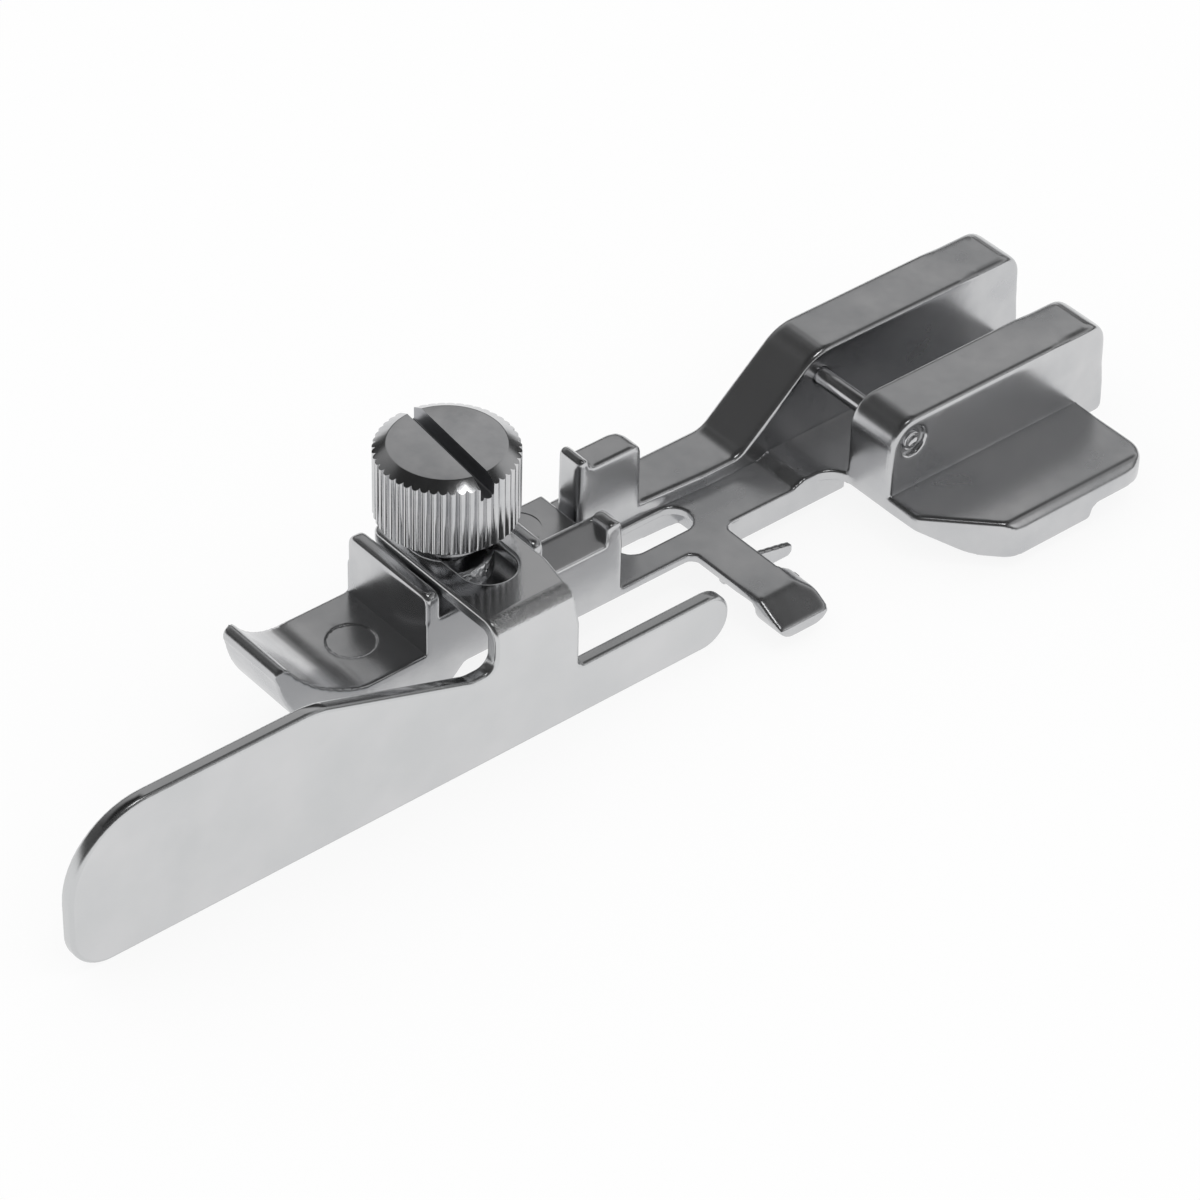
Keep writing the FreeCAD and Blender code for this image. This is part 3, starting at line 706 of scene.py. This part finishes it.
def driverCutter():
    s = thumbScrew
    wide, tall = 12, 3  # well past the head
    deselectAll()
    bottom = s["headBottom"] + s["headHeight"] - s["slotDepth"]
    bpy.ops.mesh.primitive_cube_add(size=1, location=place(0, 0, bottom + tall / 2),
                                    rotation=(0, 0, math.radians(s["slotTurn"])),
                                    scale=(wide * mm, s["slotWidth"] * mm, tall * mm))
    cutter = nameActive("driverCutter")
    applyPlace(cutter)
    roundEdges(cutter, s["slotRound"], 2, 40)
    return cutter


def makeThread(core):
    s = thumbScrew
    turns = int((s["shankLength"] - s["threadShorter"]) / s["pitch"])
    low = s["headBottom"] - s["collarHeight"] - s["shankLength"] + s["threadAboveTip"]
    deselectAll()
    bpy.ops.mesh.primitive_plane_add(size=1, location=(0, 0, 0), rotation=(math.pi / 2, 0, 0))
    ridge = nameActive("ridge")
    applyPlace(ridge)
    for point in ridge.data.vertices:
        outer = point.co.x > 0
        half = s["crestHalf"] if outer else s["rootHalf"]
        radius = s["shankRadius"] if outer else core - s["rootSunk"]
        point.co = place(radius, 0, low + (half if point.co.z > 0 else -half))
    ridge.data.transform(Matrix.Translation(-place(0, 0, 0)))  # the Screw modifier turns about the origin
    applyModifier(ridge, "SCREW", angle=2 * math.pi, steps=32, render_steps=32, screw_offset=s["pitch"] * mm,
                  iterations=turns, axis="Z", use_normal_calculate=True)
    ridge.data.transform(Matrix.Translation(place(0, 0, 0)))
    return ridge


def makeShank():
    s = thumbScrew
    collarLow = s["headBottom"] - s["collarHeight"]
    tall = s["collarHeight"] + s["collarInHead"]
    collar = addCylinder("collar", 72, s["collarRadius"], tall, (0, 0, collarLow + tall / 2))
    roundEdges(collar, s["collarRound"], 3, 40)
    core = s["shankRadius"] - s["threadDepth"]
    shank = addCylinder("shank", 48, core, s["shankLength"], (0, 0, collarLow - s["shankLength"] / 2))
    roundEdges(shank, s["tipChamfer"], 1, 40)
    return joinPieces(collar, [shank, makeThread(core)])


def inDriverSlot(face):  # true on the walls and floor of the driver slot
    s = thumbScrew
    turn = math.radians(s["slotTurn"])
    spot = (face.center - place(0, 0, s["headBottom"] + s["headHeight"] - s["slotDepth"])) / mm
    across = spot.y * math.cos(turn) - spot.x * math.sin(turn)
    return abs(across) < s["slotWidth"] / 2 + s["slotSlack"] and spot.z > -s["slotSlack"]


def makeScrew():
    head = makeHead()
    cutWith(head, driverCutter())
    piece = joinPieces(head, [makeShank()])
    piece.name = "thumbScrew"
    faceOutwards(piece)
    shadeSmooth(piece, 40)
    dress(piece, turned, slotFinishAndShade)
    # the slot's walls and floor get the second material, whose darker colour is painted shade
    for face in piece.data.polygons:
        if inDriverSlot(face):
            face.material_index = 1
    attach(piece, "screw")
    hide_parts("thumb_screw")
    print("screw", len(piece.data.polygons), "faces")


makeScrew()


crossPin = {
    "radius": 0.625, "left": -4.53, "right": 7.98, "y": 30.95, "z": 6.4, "rimRound": 0.07,
    "staked": [(0.12, 0.0), (0.10, 0.02), (0.10, -0.10)],  # insets of its ends: width and height, a ring and a dent
}


def makePin():
    s = crossPin
    middle = ((s["left"] + s["right"]) / 2, s["y"], s["z"])
    piece = addCylinder("crossPin", 48, s["radius"], s["right"] - s["left"], middle, (0, math.pi / 2, 0))
    pickFaces(piece, lambda middle, normal: abs(normal.x) > 0.9)
    for width, height in s["staked"]:
        bpy.ops.mesh.inset(thickness=width * mm, depth=height * mm)
    bpy.ops.object.mode_set(mode="OBJECT")
    roundEdges(piece, s["rimRound"], 3, 60)
    shadeSmooth(piece, 50)
    dress(piece, ground)
    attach(piece, "foot")
    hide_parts("snap_pin")


makePin()
print("pin ready")


studio = {
    "floorSize": 1.2, "floorDrop": 0.02, "floorColour": "#F4F4F4", "floorWhite": 0.86, "white": "#FFFFFF",
    # grey levels by the height of the direction that is looked in: 0 at the horizon, 1 straight up
    "sweep": [(0.0, 1.0), (0.16, 0.95), (0.27, 0.05), (0.60, 0.03), (1.0, 0.02)],
    "ring": [(0.43, 0.0), (0.50, 1.0), (0.72, 1.0), (0.80, 0.0)],
    "panelAzimuth": 108.0, "panelFacing": (-0.25, 0.75), "panelLevel": (0.03, 0.46),
    "stripAt": (0.73, 0.50, 0.465), "stripEdge": (0.988, 0.996), "stripBright": 0.85,
    "lampPower": 0.09, "lampSize": 0.09, "lampAt": (0.10, 0.04, 0.42),
}
photoView = {  # found from the straight edges and right angles of the part in the photograph
    "azimuth": 49.4, "elevation": 39.5, "roll": 1.6, "lens": 150.0, "sensor": 36.0,
    "aimAt": (0.0, 0.0, 16.1), "aimPixel": (447.0, 442.5), "pixelsPerMm": 16.82, "imageSize": 1200,
}


def makeFloor():  # white to the camera and in reflections, with a little of the part's shadow left in it
    s = studio
    deselectAll()
    bpy.ops.mesh.primitive_plane_add(size=s["floorSize"], location=(0, 0, -s["floorDrop"] * mm))
    floor = nameActive("studioFloor")
    material, tree = newMaterial("paleFloor")
    path = addNode(tree, "ShaderNodeLightPath").outputs
    diffuse = addNode(tree, "ShaderNodeBsdfDiffuse", {"Color": linearColour(s["floorColour"])})
    bright = addNode(tree, "ShaderNodeEmission", {"Color": linearColour(s["white"]), "Strength": 1.0})
    seen = addNode(tree, "ShaderNodeMath", {0: path["Is Camera Ray"], 1: path["Is Glossy Ray"]},
                   operation="MAXIMUM")
    share = addNode(tree, "ShaderNodeMath", {0: seen.outputs["Value"], 1: s["floorWhite"]},
                    operation="MULTIPLY")
    mix = addNode(tree, "ShaderNodeMixShader",
                  {"Fac": share.outputs["Value"], 1: diffuse.outputs["BSDF"], 2: bright.outputs["Emission"]})
    addNode(tree, "ShaderNodeOutputMaterial", {"Surface": mix.outputs["Shader"]})
    dress(floor, material)


def setStops(ramp, stops):  # each stop's position and grey level
    while len(ramp.elements) > 1:
        ramp.elements.remove(ramp.elements[-1])
    ramp.elements[0].position = stops[0][0]
    ramp.elements[0].color = (stops[0][1],) * 3 + (1.0,)
    for position, level in stops[1:]:
        ramp.elements.new(position).color = (level,) * 3 + (1.0,)


# The camera and diffuse rays see plain white. Mirror rays see a product booth instead, which gives the
# plating its contrast: a white sweep low down, a dark room over it, a ring of panels that is brighter on
# one side, and a narrow strip panel that shows along the guide's bend.
def makeWorld():
    s = studio
    world = bpy.data.worlds.new("productBooth")
    bpy.context.scene.world = world
    world.use_nodes = True
    tree = world.node_tree
    tree.nodes.clear()
    way = addNode(tree, "ShaderNodeTexCoord").outputs["Generated"]
    height = addNode(tree, "ShaderNodeSeparateXYZ", {"Vector": way}).outputs["Z"]
    sweep = addNode(tree, "ShaderNodeValToRGB", {"Fac": height})
    setStops(sweep.color_ramp, s["sweep"])
    ring = addNode(tree, "ShaderNodeValToRGB", {"Fac": height})
    setStops(ring.color_ramp, s["ring"])
    toPanel = math.radians(s["panelAzimuth"])
    facing = addNode(tree, "ShaderNodeVectorMath", {0: way, 1: (math.cos(toPanel), math.sin(toPanel), 0.0)},
                     operation="DOT_PRODUCT")
    level = addNode(tree, "ShaderNodeMapRange",
                    {"Value": facing.outputs["Value"], "From Min": s["panelFacing"][0],
                     "From Max": s["panelFacing"][1], "To Min": s["panelLevel"][0], "To Max": s["panelLevel"][1]},
                    clamp=True)
    panels = addNode(tree, "ShaderNodeMix",
                     {"Factor": 1.0, "A": ring.outputs["Color"], "B": level.outputs["Result"]},
                     data_type="RGBA", blend_type="MULTIPLY")
    room = addNode(tree, "ShaderNodeMix",
                   {"Factor": 1.0, "A": sweep.outputs["Color"], "B": panels.outputs["Result"]},
                   data_type="RGBA", blend_type="ADD")
    toStrip = addNode(tree, "ShaderNodeVectorMath", {0: way, 1: s["stripAt"]}, operation="DOT_PRODUCT")
    inStrip = addNode(tree, "ShaderNodeMapRange",
                      {"Value": toStrip.outputs["Value"], "From Min": s["stripEdge"][0],
                       "From Max": s["stripEdge"][1], "To Min": 0.0, "To Max": 1.0},
                      interpolation_type="SMOOTHSTEP")
    glow = addNode(tree, "ShaderNodeMath", {0: inStrip.outputs["Result"], 1: s["stripBright"]},
                   operation="MULTIPLY")
    lit = addNode(tree, "ShaderNodeMix",
                  {"Factor": 1.0, "A": room.outputs["Result"], "B": glow.outputs["Value"]},
                  data_type="RGBA", blend_type="ADD")
    booth = addNode(tree, "ShaderNodeBackground", {"Color": lit.outputs["Result"], "Strength": 1.0})
    plain = addNode(tree, "ShaderNodeBackground", {"Color": linearColour(s["white"]), "Strength": 1.0})
    path = addNode(tree, "ShaderNodeLightPath").outputs
    mirrored = addNode(tree, "ShaderNodeMath", {0: path["Is Glossy Ray"], 1: path["Is Transmission Ray"]},
                       operation="MAXIMUM")
    both = addNode(tree, "ShaderNodeMixShader",
                   {"Fac": mirrored.outputs["Value"], 1: plain.outputs["Background"],
                    2: booth.outputs["Background"]})
    addNode(tree, "ShaderNodeOutputWorld", {"Surface": both.outputs["Shader"]})


def makeLamp():
    s = studio
    deselectAll()
    bpy.ops.object.light_add(type="AREA", location=s["lampAt"])
    lamp = nameActive("topLamp")
    lamp.data.energy = s["lampPower"]
    lamp.data.size = s["lampSize"]
    lamp.rotation_euler = (-Vector(s["lampAt"])).to_track_quat("-Z", "Y").to_euler()


def makeCamera():
    s = photoView
    a, e, r = (math.radians(s[key]) for key in ("azimuth", "elevation", "roll"))
    back = Vector((math.sin(a) * math.cos(e), -math.cos(a) * math.cos(e), math.sin(e)))
    right = Vector((math.cos(a), math.sin(a), 0.0))
    up = back.cross(right)
    right, up = right * math.cos(r) + up * math.sin(r), up * math.cos(r) - right * math.sin(r)
    focal = s["lens"] / s["sensor"] * s["imageSize"]  # in pixels
    depth = focal / s["pixelsPerMm"]
    half = s["imageSize"] / 2
    across = (s["aimPixel"][0] - half) / focal * depth
    upward = -(s["aimPixel"][1] - half) / focal * depth
    aim = Vector(s["aimAt"])
    spot = aim - right * across - up * upward + back * depth
    deselectAll()
    bpy.ops.object.camera_add(location=place(spot.x, spot.y, spot.z))
    camera = nameActive("photoCamera")
    camera.rotation_mode = "QUATERNION"
    camera.rotation_quaternion = Matrix((right, up, back)).transposed().to_quaternion()
    camera.data.lens = s["lens"]
    camera.data.sensor_width = s["sensor"]
    camera.data.clip_start = 0.01
    camera.data.clip_end = 10.0
    bpy.context.scene.camera = camera


makeFloor()
makeWorld()
makeLamp()
makeCamera()
bpy.context.scene.view_settings.view_transform = "Standard"
print("studio ready")
